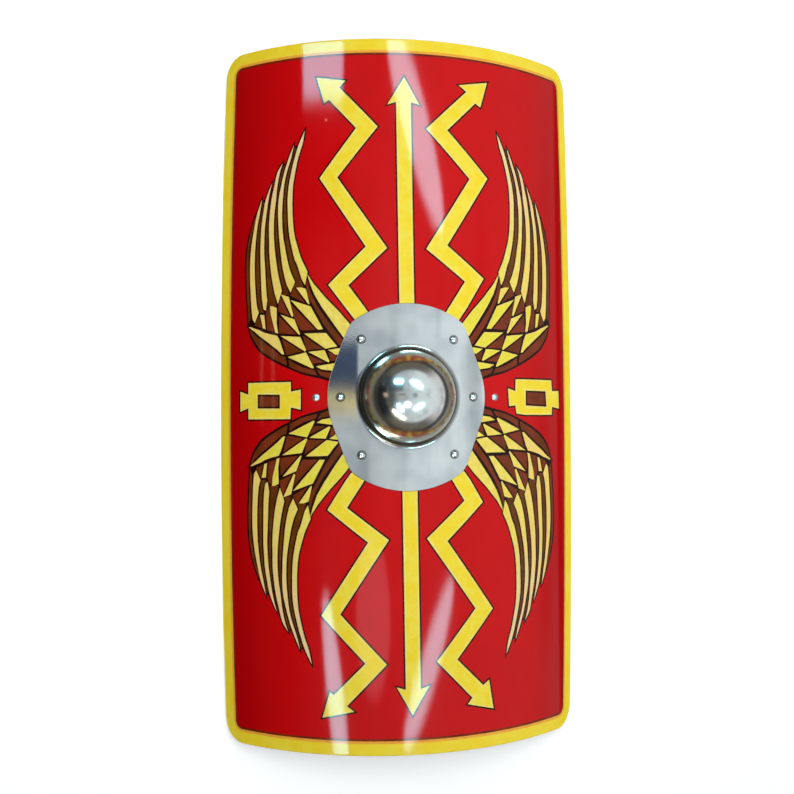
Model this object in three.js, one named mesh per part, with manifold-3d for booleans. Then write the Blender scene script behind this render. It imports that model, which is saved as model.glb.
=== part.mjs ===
// Roman scutum in sheet steel, full size, lying hollow side down on its two long edges.
// Millimetres. X runs across the board, Y along it and Z up, out of the front face.
// The origin is on the floor, under the middle of the board.

import * as THREE from 'three';
import { mergeVertices } from 'three/addons/utils/BufferGeometryUtils.js';
import Module from 'manifold-3d';

const wasm = await Module();
wasm.setup();

// Board, with arcs measured round the front face

const boardLength = 1067;
const boardMiddleArc = 624;
const boardEndArc = 596;
const boardBendRadius = 422;
const boardSheet = 1.2;
const boardCornerRadius = 35;
const edgeWire = 2.6;
const edgeRollProud = 0.3;

// Boss, with its place along the board

const bossY = -6;
const domeRadius = 69;
const domeLift = 9;
const domeFillet = 9;
const bossSheet = 1.5;
const flangeArc = 242;
const flangeLength = 280;
const flangeSideTurn = 20;
const flangeCornerPower = 50;
const handHoleInset = 2;

// Rivets of the boss, set in from the flange edge, at the sides and near the four corners

const bossRivetSideInset = 19;
const bossRivetCornerInset = 27;
const bossRivetCornerTurn = 51;
const bossRivetHeadRadius = 5.8;
const bossRivetHeadHeight = 3.2;
const bossRivetShankRadius = 2.4;
const bossRivetTailRadius = 4.2;
const bossRivetTailHeight = 1.8;

// Grip and its blind rivets

const gripRivetPastFlange = 18;
const gripWidth = 26;
const gripStrap = 4;
const gripTabArc = 28;
const gripRivetHeadRadius = 5.4;
const gripRivetHeadHeight = 2;
const gripRivetShankRadius = 2.4;
const gripRivetPinRadius = 1.2;
const gripRivetPinDepth = 1.2;
const gripRivetBulgeRadius = 3.6;
const gripRivetBulgeLength = 5;
const gripRivetBulgeTaper = 2;

// Clearances

const contactGap = 0.3;
const holeClearance = 0.35;

// Fineness of the facets

const boardColumns = 36;
const boardSideSteps = 12;
const cornerSteps = 6;
const rollSides = 8;
const bossSegments = 52;
const domeSteps = 9;
const filletSteps = 3;
const flangeSteps = 4;
const holeSegments = 40;
const rivetSegments = 12;
const rivetHeadSteps = 3;
const tabSteps = 3;

// Values that follow from the sizes

const edgeRollRadius = edgeWire / 2 + boardSheet;
const handHoleRadius = domeRadius - handHoleInset;
const gripRivetArc = flangeArc / 2 + gripRivetPastFlange;
const boardBackRadius = boardBendRadius - boardSheet;
const flangeBackHeight = contactGap;
const flangeFrontHeight = contactGap + bossSheet;
const drillReach = 2 * (flangeFrontHeight + boardSheet + gripStrap);

// Bent coordinates: an arc across the board, a distance along it and a height over its front face

function bent(arc, along, height) {
  const angle = arc / boardBendRadius;
  const radius = boardBendRadius + height;
  return new THREE.Vector3(radius * Math.sin(angle), along, radius * Math.cos(angle));
}

function levelOverBoard(x, height) {
  const radius = boardBendRadius + height;
  return Math.sqrt(radius * radius - x * x);
}

function facingOut(object, arc) {
  object.rotation.set(0, arc / boardBendRadius, 0);
}

// Closed meshes and their joins

function welded(geometry) {
  const bare = geometry.index ? geometry.clone() : mergeVertices(geometry);
  for (const name of Object.keys(bare.attributes)) {
    if (name !== 'position') bare.deleteAttribute(name);
  }
  const merged = mergeVertices(bare);
  const corners = merged.index.array;
  const kept = [];
  for (let i = 0; i < corners.length; i += 3) {
    const [a, b, c] = [corners[i], corners[i + 1], corners[i + 2]];
    if (a !== b && b !== c && c !== a) kept.push(a, b, c);
  }
  merged.setIndex(kept);
  return merged;
}

function toSolid(geometry) {
  const mesh = welded(geometry);
  return new wasm.Manifold(new wasm.Mesh({
    numProp: 3,
    vertProperties: new Float32Array(mesh.attributes.position.array),
    triVerts: new Uint32Array(mesh.index.array),
  }));
}

function toGeometry(solid) {
  const mesh = solid.getMesh();
  const geometry = new THREE.BufferGeometry();
  geometry.setAttribute('position', new THREE.BufferAttribute(mesh.vertProperties, 3));
  geometry.setIndex(new THREE.BufferAttribute(mesh.triVerts, 1));
  geometry.computeVertexNormals();
  return geometry;
}

// A round pin through the board and the flange, standing square to the bent face
function drill(radius, arc, along) {
  const tool = new THREE.CylinderGeometry(radius, radius, 2 * drillReach, rivetSegments);
  const holder = new THREE.Object3D();
  facingOut(holder, arc);
  holder.position.copy(bent(arc, along, 0));
  holder.updateMatrix();
  tool.rotateX(Math.PI / 2);
  tool.applyMatrix4(holder.matrix);
  return toSolid(tool);
}

// Outline of the board in the flat: a rounded rectangle whose long sides bow out in the middle

function bowShare(along) {
  const end = along / (boardLength / 2);
  return 1 - (1 - boardEndArc / boardMiddleArc) * end * end;
}

function boardOutline(inset) {
  const halfArc = boardMiddleArc / 2 - inset;
  const halfLength = boardLength / 2 - inset;
  const radius = boardCornerRadius - inset;
  const points = [];
  const corners = [[1, 1], [-1, 1], [-1, -1], [1, -1]];
  corners.forEach(([acrossSide, alongSide], number) => {
    const centreArc = acrossSide * (halfArc - radius);
    const centreAlong = alongSide * (halfLength - radius);
    for (let i = 0; i <= cornerSteps; i += 1) {
      const angle = (number + i / cornerSteps) * Math.PI / 2;
      points.push([centreArc + radius * Math.cos(angle), centreAlong + radius * Math.sin(angle)]);
    }
    const steps = number % 2 === 0 ? boardColumns : boardSideSteps;
    const from = points[points.length - 1];
    const [nextAcross, nextAlong] = corners[(number + 1) % 4];
    const to = number % 2 === 0
      ? [nextAcross * (halfArc - radius), from[1]]
      : [from[0], nextAlong * (halfLength - radius)];
    for (let i = 1; i < steps; i += 1) {
      const share = i / steps;
      points.push([from[0] + (to[0] - from[0]) * share, from[1] + (to[1] - from[1]) * share]);
    }
  });
  return points.map(([arc, along]) => [arc * bowShare(along), along]);
}

// Flange outline, as its reach from the middle of the boss at a turn from the line across the board:
// a round plate with each side trimmed to a smaller round that runs out into two straight cuts

function flangeReach(turn) {
  const halfWidth = boardBendRadius * Math.sin(flangeArc / 2 / boardBendRadius);
  const halfLength = flangeLength / 2;
  const fromSide = Math.acos(Math.abs(Math.cos(turn)));
  const pastSide = Math.max(0, fromSide - THREE.MathUtils.degToRad(flangeSideTurn));
  const trimmed = (Math.cos(pastSide) / halfWidth) ** flangeCornerPower;
  const plate = (1 / halfLength) ** flangeCornerPower;
  return (trimmed + plate) ** (-1 / flangeCornerPower);
}

// Places of the rivets, each an arc across the board and a distance along it

function insetFromFlange(degrees, inset) {
  const turn = THREE.MathUtils.degToRad(degrees);
  const reach = flangeReach(turn) - inset;
  const arc = boardBendRadius * Math.asin(reach * Math.cos(turn) / boardBendRadius);
  return [arc, bossY + reach * Math.sin(turn)];
}

const bossRivetPlaces = [
  insetFromFlange(bossRivetCornerTurn, bossRivetCornerInset),
  insetFromFlange(0, bossRivetSideInset),
  insetFromFlange(-bossRivetCornerTurn, bossRivetCornerInset),
  insetFromFlange(180 - bossRivetCornerTurn, bossRivetCornerInset),
  insetFromFlange(180, bossRivetSideInset),
  insetFromFlange(bossRivetCornerTurn - 180, bossRivetCornerInset),
];
const gripRivetPlaces = [[gripRivetArc, bossY], [-gripRivetArc, bossY]];

// Board sheet: an arched band, cut to the outline by a prism seen from above

function boardSheetSolid() {
  const halfAngle = (boardMiddleArc / 2 + edgeRollRadius) / boardBendRadius;
  const start = Math.PI / 2 - halfAngle;
  const end = Math.PI / 2 + halfAngle;
  const band = new THREE.Shape();
  band.absarc(0, 0, boardBendRadius, start, end, false);
  band.absarc(0, 0, boardBackRadius, end, start, true);
  band.closePath();
  const arch = new THREE.ExtrudeGeometry(band, {
    depth: boardLength,
    bevelEnabled: false,
    curveSegments: boardColumns,
  });
  arch.rotateX(Math.PI / 2);
  arch.translate(0, boardLength / 2, 0);

  const seen = boardOutline(edgeRollRadius).map(([arc, along]) => {
    const point = bent(arc, along, 0);
    return new THREE.Vector2(point.x, point.y);
  });
  const cutter = new THREE.ExtrudeGeometry(new THREE.Shape(seen), {
    depth: 2 * boardBendRadius,
    bevelEnabled: false,
  });
  return toSolid(arch).intersect(toSolid(cutter));
}

// Rolled edge: a torus whose ring is laid along the outline of the bent board

function rolledEdge() {
  const path = boardOutline(edgeRollRadius);
  const count = path.length;
  const ring = new THREE.TorusGeometry(1, edgeRollRadius, rollSides, count);
  const position = ring.attributes.position;
  const centreHeight = edgeRollProud - edgeRollRadius;
  for (let side = 0; side <= rollSides; side += 1) {
    const turn = (side % rollSides) / rollSides * 2 * Math.PI;
    for (let step = 0; step <= count; step += 1) {
      const [arc, along] = path[step % count];
      const before = path[(step + count - 1) % count];
      const after = path[(step + 1) % count];
      const run = new THREE.Vector2(after[0] - before[0], after[1] - before[1]).normalize();
      const out = edgeRollRadius * Math.cos(turn);
      const up = edgeRollRadius * Math.sin(turn);
      const point = bent(arc + out * run.y, along - out * run.x, centreHeight + up);
      position.setXYZ(side * (count + 1) + step, point.x, point.y, point.z);
    }
  }
  return toSolid(ring);
}

function handHole() {
  const tool = new THREE.CylinderGeometry(
    handHoleRadius,
    handHoleRadius,
    2 * boardBendRadius,
    holeSegments,
  );
  tool.rotateX(Math.PI / 2);
  tool.translate(0, bossY, boardBendRadius);
  return toSolid(tool);
}

function boardGeometry() {
  let solid = boardSheetSolid().add(rolledEdge()).subtract(handHole());
  for (const [arc, along] of bossRivetPlaces) {
    solid = solid.subtract(drill(bossRivetShankRadius + holeClearance, arc, along));
  }
  for (const [arc, along] of gripRivetPlaces) {
    solid = solid.subtract(drill(gripRivetShankRadius + holeClearance, arc, along));
  }
  return toGeometry(solid);
}

// Boss: a half section turned on a lathe, its flange then drawn out to the oval and laid on the board

// One face of the section from the crown down to the flange edge, at one height over the board
function bossFace(wallRadius, filletRadius, faceHeight) {
  const points = [];
  const domeFoot = flangeFrontHeight + domeFillet;
  const lowest = Math.acos((domeFoot + bossSheet - domeLift) / domeRadius);
  for (let i = 0; i <= domeSteps; i += 1) {
    const angle = lowest * i / domeSteps;
    const radius = wallRadius * Math.sin(angle);
    const height = domeLift + wallRadius * Math.cos(angle);
    points.push({ radius, height, share: 0, laid: false });
  }
  for (let i = 0; i <= filletSteps; i += 1) {
    const angle = Math.PI / 2 * i / filletSteps;
    const radius = domeRadius + domeFillet - filletRadius * Math.cos(angle);
    const height = domeFoot - filletRadius * Math.sin(angle);
    points.push({ radius, height, share: 0, laid: true });
  }
  for (let i = 1; i <= flangeSteps; i += 1) {
    const radius = domeRadius + domeFillet + i;
    points.push({ radius, height: faceHeight, share: i / flangeSteps, laid: true });
  }
  return points;
}

function bossGeometry() {
  const front = bossFace(domeRadius, domeFillet, flangeFrontHeight);
  const back = bossFace(domeRadius - bossSheet, domeFillet + bossSheet, flangeBackHeight);
  const section = [...back, ...front.reverse()];
  const profile = section.map((point) => new THREE.Vector2(point.radius, point.height));
  const lathe = new THREE.LatheGeometry(profile, bossSegments);
  const position = lathe.attributes.position;
  const flangeStart = domeRadius + domeFillet;
  for (let turn = 0; turn <= bossSegments; turn += 1) {
    const angle = (turn % bossSegments) / bossSegments * 2 * Math.PI;
    const flangeWidth = flangeReach(angle) - flangeStart;
    section.forEach((point, number) => {
      const radius = point.share > 0 ? flangeStart + point.share * flangeWidth : point.radius;
      const x = radius * Math.cos(angle);
      const y = bossY + radius * Math.sin(angle);
      const z = point.laid ? levelOverBoard(x, point.height) : boardBendRadius + point.height;
      position.setXYZ(turn * section.length + number, x, y, z);
    });
  }
  let solid = toSolid(lathe);
  for (const [arc, along] of bossRivetPlaces) {
    solid = solid.subtract(drill(bossRivetShankRadius + holeClearance, arc, along));
  }
  return toGeometry(solid);
}

// Rivets: turned sections whose zero height is the front face of the board under them

function roundHead(radius, height, seat) {
  const points = [];
  const ball = (radius * radius + height * height) / (2 * height);
  const sweep = Math.asin(radius / ball);
  for (let i = 0; i <= rivetHeadSteps; i += 1) {
    const angle = sweep * i / rivetHeadSteps;
    const rise = ball * Math.cos(angle) - (ball - height);
    points.push(new THREE.Vector2(ball * Math.sin(angle), seat + rise));
  }
  return points;
}

function bossRivetGeometry() {
  const seat = flangeFrontHeight + contactGap;
  const tailTop = -boardSheet - contactGap;
  const profile = [
    ...roundHead(bossRivetHeadRadius, bossRivetHeadHeight, seat),
    new THREE.Vector2(bossRivetShankRadius, seat),
    new THREE.Vector2(bossRivetShankRadius, tailTop),
    new THREE.Vector2(bossRivetTailRadius, tailTop),
    new THREE.Vector2(bossRivetTailRadius, tailTop - bossRivetTailHeight / 2),
    new THREE.Vector2(bossRivetTailRadius / 2, tailTop - bossRivetTailHeight),
    new THREE.Vector2(0, tailTop - bossRivetTailHeight),
  ];
  return turned(profile);
}

function gripRivetGeometry() {
  const seat = contactGap;
  const head = roundHead(gripRivetHeadRadius, gripRivetHeadHeight, seat).slice(1);
  const pinTop = seat + gripRivetHeadHeight;
  const bulgeTop = -boardSheet - 2 * contactGap - gripStrap;
  const profile = [
    new THREE.Vector2(0, pinTop - gripRivetPinDepth),
    new THREE.Vector2(gripRivetPinRadius, pinTop - gripRivetPinDepth),
    new THREE.Vector2(gripRivetPinRadius, pinTop),
    ...head,
    new THREE.Vector2(gripRivetShankRadius, seat),
    new THREE.Vector2(gripRivetShankRadius, bulgeTop),
    new THREE.Vector2(gripRivetBulgeRadius, bulgeTop),
    new THREE.Vector2(gripRivetBulgeRadius, bulgeTop - gripRivetBulgeLength + gripRivetBulgeTaper),
    new THREE.Vector2(gripRivetShankRadius, bulgeTop - gripRivetBulgeLength),
    new THREE.Vector2(0, bulgeTop - gripRivetBulgeLength),
  ];
  return turned(profile);
}

function turned(profile) {
  const lathe = new THREE.LatheGeometry(profile.reverse(), rivetSegments);
  lathe.rotateX(Math.PI / 2);
  return welded(lathe);
}

// Grip: the side view of the strap, drawn across and up, then given its width along the board

function gripGeometry() {
  const upperRadius = boardBackRadius - contactGap;
  const lowerRadius = upperRadius - gripStrap;
  const innerAngle = (gripRivetArc - gripTabArc / 2) / boardBendRadius;
  const outerAngle = (gripRivetArc + gripTabArc / 2) / boardBendRadius;
  const lowerLevel = upperRadius * Math.cos(innerAngle) - gripStrap;
  const lowerInnerAngle = Math.acos(lowerLevel / lowerRadius);
  const up = Math.PI / 2;
  const side = new THREE.Shape();
  side.absarc(0, 0, upperRadius, up - outerAngle, up - innerAngle, false);
  side.absarc(0, 0, upperRadius, up + innerAngle, up + outerAngle, false);
  side.absarc(0, 0, lowerRadius, up + outerAngle, up + lowerInnerAngle, true);
  side.absarc(0, 0, lowerRadius, up - lowerInnerAngle, up - outerAngle, true);
  side.closePath();
  const strap = new THREE.ExtrudeGeometry(side, {
    depth: gripWidth,
    bevelEnabled: false,
    curveSegments: tabSteps,
  });
  strap.rotateX(Math.PI / 2);
  strap.translate(0, bossY + gripWidth / 2, 0);
  let solid = toSolid(strap);
  for (const [arc, along] of gripRivetPlaces) {
    solid = solid.subtract(drill(gripRivetShankRadius + holeClearance, arc, along));
  }
  return toGeometry(solid);
}

// Materials

const redPaint = new THREE.MeshStandardMaterial({ color: 0xb30a10, roughness: 0.25, metalness: 0 });
const brightSteel = new THREE.MeshStandardMaterial({ color: 0xb9c3cd, roughness: 0.2, metalness: 1 });
const rivetSteel = new THREE.MeshStandardMaterial({ color: 0xc3c8cc, roughness: 0.3, metalness: 1 });
const blackPaint = new THREE.MeshStandardMaterial({ color: 0x1c1c1d, roughness: 0.5, metalness: 0 });
const aluminium = new THREE.MeshStandardMaterial({ color: 0xb5b7b8, roughness: 0.4, metalness: 1 });

// Assembly

const shield = new THREE.Group();

function addPiece(name, geometry, material) {
  const piece = new THREE.Mesh(geometry, material);
  piece.name = name;
  shield.add(piece);
  return piece;
}

function addRivet(name, geometry, material, arc, along) {
  const rivet = addPiece(name, geometry, material);
  rivet.position.copy(bent(arc, along, 0));
  facingOut(rivet, arc);
}

addPiece('board', boardGeometry(), redPaint);
addPiece('boss', bossGeometry(), brightSteel);
addPiece('grip', gripGeometry(), blackPaint);
bossRivetPlaces.forEach(([arc, along], i) => {
  addRivet(`boss_rivet_${i + 1}`, bossRivetGeometry(), rivetSteel, arc, along);
});
gripRivetPlaces.forEach(([arc, along], i) => {
  addRivet(`grip_rivet_${i + 1}`, gripRivetGeometry(), aluminium, arc, along);
});

// The bend is drawn about its own axis, so the whole shield is lowered until its edges touch the floor
shield.updateMatrixWorld(true);
shield.position.z = -new THREE.Box3().setFromObject(shield, true).min.z;

export default shield;
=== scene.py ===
# %% [markdown]
# A Roman legionary's curved shield, made today in painted sheet steel with a polished steel boss.
# The measured solids come first, as a fixed frame. Everything made here is laid over them, so that
# sizes and places never have to be fitted by eye.

# %% Load the measured solids
import bpy
import bmesh
import math
from mathutils import Matrix, Vector
from mathutils.geometry import delaunay_2d_cdt


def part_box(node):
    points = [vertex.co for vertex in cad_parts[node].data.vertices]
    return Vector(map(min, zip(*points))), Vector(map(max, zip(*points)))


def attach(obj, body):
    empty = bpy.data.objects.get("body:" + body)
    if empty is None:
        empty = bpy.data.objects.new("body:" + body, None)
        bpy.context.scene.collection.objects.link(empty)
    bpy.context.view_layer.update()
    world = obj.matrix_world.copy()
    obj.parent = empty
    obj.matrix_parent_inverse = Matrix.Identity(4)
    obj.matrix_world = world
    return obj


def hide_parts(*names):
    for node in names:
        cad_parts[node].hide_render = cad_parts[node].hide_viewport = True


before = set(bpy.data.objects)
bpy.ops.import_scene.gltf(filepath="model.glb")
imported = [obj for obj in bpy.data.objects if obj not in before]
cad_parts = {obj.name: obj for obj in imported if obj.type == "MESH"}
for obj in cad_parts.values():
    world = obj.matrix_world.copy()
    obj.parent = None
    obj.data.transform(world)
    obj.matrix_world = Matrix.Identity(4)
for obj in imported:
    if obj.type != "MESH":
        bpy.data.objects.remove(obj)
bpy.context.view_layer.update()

# %% [markdown]
# The photograph was taken from above the boss, a little to the left. Its place, turn and lens were
# worked out beforehand from the outline of the board, whose bend, width and length are known.

# %% Camera
lens_mm, sensor_mm = 39.53, 36.0
camera_place = Vector((-0.16435, -0.04473, 1.39806))
camera_yaw, camera_pitch, camera_roll = -0.114116, 0.029820, -0.005229
camera_turn = (
    Matrix.Rotation(camera_yaw, 4, "Y")
    @ Matrix.Rotation(camera_pitch, 4, "X")
    @ Matrix.Rotation(camera_roll, 4, "Z")
)
camera_data = bpy.data.cameras.new("camera")
camera_data.sensor_width = sensor_mm
camera_data.lens = lens_mm
camera = bpy.data.objects.new("camera", camera_data)
camera.matrix_world = Matrix.Translation(camera_place) @ camera_turn
bpy.context.scene.collection.objects.link(camera)
bpy.context.scene.camera = camera
print("camera", round(camera_place.z, 3), "m above the floor")

# %% [markdown]
# The board is one sheet bent round a single axis, so it can be drawn flat, as the sign painter sees
# it, and bent afterwards. Lengths of the flat plan are in millimetres: across is measured round the
# front face, along runs from end to end, and depth goes in from the front face.

# %% The flat plan and the bend
MM = 0.001
bend_radius = 422.0
edge_proud_of_solid = 0.3
crown_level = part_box("board")[1].z / MM - edge_proud_of_solid
bend_axis_level = crown_level - bend_radius
boss_along = -6.0


def bent(across, along, depth=0.0):
    """The place of a plan point on the bent board, in metres."""
    angle = across / bend_radius
    radius = bend_radius - depth
    return Vector((radius * math.sin(angle), along, bend_axis_level + radius * math.cos(angle))) * MM


def bent_direction(across, direction):
    """A direction of the plan (across, along, out of the face), turned with the bend."""
    turn = across / bend_radius
    x = direction[0] * math.cos(turn) + direction[2] * math.sin(turn)
    z = direction[2] * math.cos(turn) - direction[0] * math.sin(turn)
    return Vector((x, direction[1], z))


print("crown of the board", round(crown_level, 2), "mm above the floor")

# %% [markdown]
# Every material and every geometry tree is wired by the same small class. A wire is one output
# socket, and the ordinary operators on it add Math nodes, so a mask reads like a sum.

# %% Wires and trees
class Wire:
    """One output socket of a tree. Sums on it add Math nodes."""

    def __init__(self, tree, socket):
        self.tree = tree
        self.socket = socket

    def math(self, operation, first, second=0.0, third=0.0, clamp=False):
        settings = {"operation": operation, "use_clamp": clamp}
        return self.tree.node("ShaderNodeMath", settings, {0: first, 1: second, 2: third})

    def __add__(self, other):
        return self.math("ADD", self, other)

    def __radd__(self, other):
        return self.math("ADD", other, self)

    def __sub__(self, other):
        return self.math("SUBTRACT", self, other)

    def __rsub__(self, other):
        return self.math("SUBTRACT", other, self)

    def __mul__(self, other):
        return self.math("MULTIPLY", self, other)

    def __rmul__(self, other):
        return self.math("MULTIPLY", other, self)

    def __truediv__(self, other):
        return self.math("DIVIDE", self, other)

    def __rtruediv__(self, other):
        return self.math("DIVIDE", other, self)

    def __pow__(self, other):
        return self.math("POWER", self, other)

    def size(self):
        return self.math("ABSOLUTE", self)

    def rising(self, low, high):
        """0 below low, 1 above high, and a smooth rise between."""
        settings = {"interpolation_type": "SMOOTHSTEP"}
        return self.tree.node("ShaderNodeMapRange", settings, {"Value": self, 1: low, 2: high})


class Tree:
    """The nodes of one material, world or Geometry Nodes group."""

    def __init__(self, nodes):
        self.nodes = nodes

    def node(self, kind, settings=None, values=None, output=0):
        """Adds any node, with its settings and the values or wires of its inputs."""
        made = self.nodes.nodes.new(kind)
        for name, value in (settings or {}).items():
            setattr(made, name, value)
        for name, value in (values or {}).items():
            if isinstance(value, Wire):
                self.nodes.links.new(value.socket, made.inputs[name])
            else:
                made.inputs[name].default_value = value
        return Wire(self, made.outputs[output]) if made.outputs else made

    def parts(self, vector):
        """The x, y and z of a vector."""
        split = self.node("ShaderNodeSeparateXYZ", None, {0: vector})
        sockets = split.socket.node.outputs
        return [Wire(self, socket) for socket in sockets]

    def blend(self, share, first, second):
        """Goes from the first colour to the second as share goes from 0 to 1."""
        settings = {"data_type": "RGBA"}
        return self.node("ShaderNodeMix", settings, {0: share, 6: first, 7: second}, output=2)

    def noise(self, place, scale, detail=2.0, roughness=0.5):
        values = {"Vector": place, "Scale": scale, "Detail": detail, "Roughness": roughness}
        return self.node("ShaderNodeTexNoise", None, values)


def colour(red, green, blue):
    """A colour given as it is seen on a screen, 0 to 255, for a socket that wants linear light."""
    def linear(part):
        part = part / 255
        return part / 12.92 if part <= 0.04045 else ((part + 0.055) / 1.055) ** 2.4
    return (linear(red), linear(green), linear(blue), 1.0)


def new_material(name):
    material = bpy.data.materials.new(name)
    material.use_nodes = True
    material.node_tree.nodes.clear()
    return material, Tree(material.node_tree)


def finish_material(tree, surface):
    tree.node("ShaderNodeOutputMaterial", None, {"Surface": surface})

# %% [markdown]
# All the paint is gloss enamel over steel: the colours differ, the skin of the paint doesn't. One
# maker gives each colour a faint cloudiness, a little orange peel and a slightly uneven gloss. The
# second colour is where the brush left the paint thinner or thicker.

# %% Enamel paints
enamel_shine = 0.22


def enamel(name, main, second, cloud_size=90.0, roughness=0.05, peel=0.04, shift=None):
    material, tree = new_material(name)
    place = tree.node("ShaderNodeTexCoord", None, None, output=3)
    cloud = tree.noise(place, cloud_size, 3.0, 0.6)
    grain = tree.noise(place, 900.0, 2.0, 0.5)
    share = cloud.rising(0.35, 0.68)
    paint = tree.blend(share, main, second)
    if shift is not None:
        paint = shift(tree, place, paint)
    uneven = roughness + 0.03 * cloud
    bump = tree.node("ShaderNodeBump", None, {"Strength": peel, "Distance": 0.0004, "Height": grain})
    finish_material(tree, tree.node("ShaderNodeBsdfPrincipled", None, {
        "Base Color": paint,
        "Roughness": uneven,
        "Specular IOR Level": enamel_shine,
        "Normal": bump,
    }))
    return material


def pale_tips(tree, place, paint):
    """Feathers go from lemon near the boss to cream and flesh towards their tips and the sides."""
    across, along, _ = tree.parts(place)
    towards_tip = along.size().rising(0.2, 0.36)
    towards_side = across.size().rising(0.16, 0.21)
    warm = tree.blend(towards_side * 0.7, paint, colour(252, 214, 120))
    return tree.blend(towards_tip * 0.75, warm, colour(250, 210, 168))


def painted_shade_at_sides(tree, place, paint):
    """The red is painted darker towards the two long sides: painted shade, where the bent face turns away
    from the light.
    """
    across, _, _ = tree.parts(place)
    return tree.blend(across.size().rising(0.17, 0.29), paint, colour(178, 2, 8))


paints = {
    "red": enamel("red_enamel", colour(212, 4, 9), colour(206, 3, 8), cloud_size=9.0, shift=painted_shade_at_sides),
    "border": enamel("border_yellow", colour(255, 222, 44), colour(255, 230, 68), cloud_size=30.0),
    "border_inside": enamel("border_inner_edge", colour(252, 180, 66), colour(248, 168, 60)),
    "line": enamel("outline_brown", colour(44, 9, 2), colour(28, 5, 2)),
    "edge_line": enamel("edge_brown", colour(140, 44, 10), colour(108, 30, 6), cloud_size=40.0),
    "bolt_rim": enamel("bolt_rim_yellow", colour(250, 224, 104), colour(252, 232, 130), cloud_size=60.0),
    "bolt": enamel("bolt_yellow", colour(255, 224, 44), colour(255, 232, 76), cloud_size=60.0),
    "feather": enamel("feather_yellow", colour(250, 230, 112), colour(244, 216, 92), shift=pale_tips),
    "feather_heart": enamel("feather_lemon", colour(240, 224, 62), colour(246, 232, 86)),
    "brown": enamel("feather_brown", colour(132, 52, 26), colour(104, 50, 10), cloud_size=34.0),
    "brown_long": enamel("feather_olive", colour(112, 62, 10), colour(96, 44, 12), cloud_size=34.0),
    "fleck": enamel("stray_paint", colour(250, 110, 70), colour(250, 150, 110)),
    "back": enamel("back_black", colour(24, 24, 25), colour(33, 33, 34), roughness=0.42, peel=0.3),
}
print(len(paints), "paints")

# %% [markdown]
# The painter's pattern: a yellow border, an arrow down the middle, four jagged bolts, four wings and
# two tablets. Each shape is a closed outline in the flat plan, and shapes are listed in the order in
# which they are painted, so a later one covers an earlier one. The hand that set it out let the whole
# pattern lean a little to the left, and the lean is kept.

# %% Painter's list
painted = []
pattern_lean = math.radians(0.65)


def lean(point):
    across, along = point
    return (
        across * math.cos(pattern_lean) - along * math.sin(pattern_lean),
        across * math.sin(pattern_lean) + along * math.cos(pattern_lean),
    )


def area_of(points):
    pairs = zip(points, points[1:] + points[:1])
    return sum(a[0] * b[1] - b[0] * a[1] for a, b in pairs) / 2


def paint(name, points, longest=9.0):
    """Adds a shape. Its long sides get more points, so that they follow the bend later on."""
    loop = points if area_of(points) > 0 else points[::-1]
    fine = []
    for a, b in zip(loop, [*loop[1:], loop[0]]):
        steps = max(1, math.ceil(abs(b[0] - a[0]) / longest))
        fine += [(a[0] + (b[0] - a[0]) * i / steps, a[1] + (b[1] - a[1]) * i / steps) for i in range(steps)]
    painted.append((name, fine))


def grown(points, margin, sharpest=2.0):
    """The outline moved outwards by margin, with its sharpest corners cut short."""
    loop = points if area_of(points) > 0 else points[::-1]
    moved = []
    for i, here in enumerate(loop):
        before, after = Vector(loop[i - 1]), Vector(loop[(i + 1) % len(loop)])
        came = (Vector(here) - before).normalized()
        goes = (after - Vector(here)).normalized()
        sides = Vector((came.y, -came.x)) + Vector((goes.y, -goes.x))
        if sides.length < 1e-6:
            sides = Vector((came.y, -came.x))
        out = sides.normalized()
        spread = max(1 / sharpest, abs(out.dot(Vector((came.y, -came.x)))))
        moved.append(tuple(Vector(here) + out * (margin / spread)))
    return moved


def crosses_itself(points):
    """True where two sides of a closed outline cross, which would let its paint leak out."""
    def turn(a, b, c):
        return (b[0] - a[0]) * (c[1] - a[1]) - (b[1] - a[1]) * (c[0] - a[0])
    sides = list(zip(points, [*points[1:], points[0]]))
    for i, (a, b) in enumerate(sides):
        for c, d in sides[i + 2:len(sides) - (i == 0)]:
            if turn(a, b, c) * turn(a, b, d) <= 0 and turn(c, d, a) * turn(c, d, b) <= 0:
                return True
    return False


def shrunk(points, margin):
    """The outline moved inwards, without the points that would land too near another side."""
    def near_side(point):
        for a, b in zip(points, [*points[1:], points[0]]):
            start, run = Vector(a), Vector(b) - Vector(a)
            along_run = min(1.0, max(0.0, (point - start).dot(run) / max(run.length_squared, 1e-9)))
            if (point - start - run * along_run).length < 0.93 * margin:
                return True
        return False
    moved = [Vector(p) for p in grown(points, -margin, sharpest=5.0)]
    return [tuple(p) for p in moved if not near_side(p)]


def eased(points, steps=4):
    """A smooth line through an open row of points, with steps points for each of its spans."""
    ends = [2 * Vector(points[0]) - Vector(points[1]), 2 * Vector(points[-1]) - Vector(points[-2])]
    row = [ends[0], *[Vector(p) for p in points], ends[1]]
    line = []
    for a, b, c, d in zip(row, row[1:], row[2:], row[3:]):
        for i in range(steps):
            t = i / steps
            line.append(tuple(0.5 * (
                2 * b + (c - a) * t + (2 * a - 5 * b + 4 * c - d) * t * t
                + (3 * b - a - 3 * c + d) * t * t * t)))
    return [*line, tuple(points[-1])]


# %% [markdown]
# The board's outline: a rounded rectangle whose long sides bow out a little in the middle. The edge
# is rolled round a wire, so the flat part of the face ends a few millimetres inside the outline.

# %% Outline of the board
board_length = 1067.0
board_middle_arc = 624.0
board_end_arc = 596.0
board_corner = 35.0
sheet = 1.2
narrowing = 1 - board_end_arc / board_middle_arc


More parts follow.
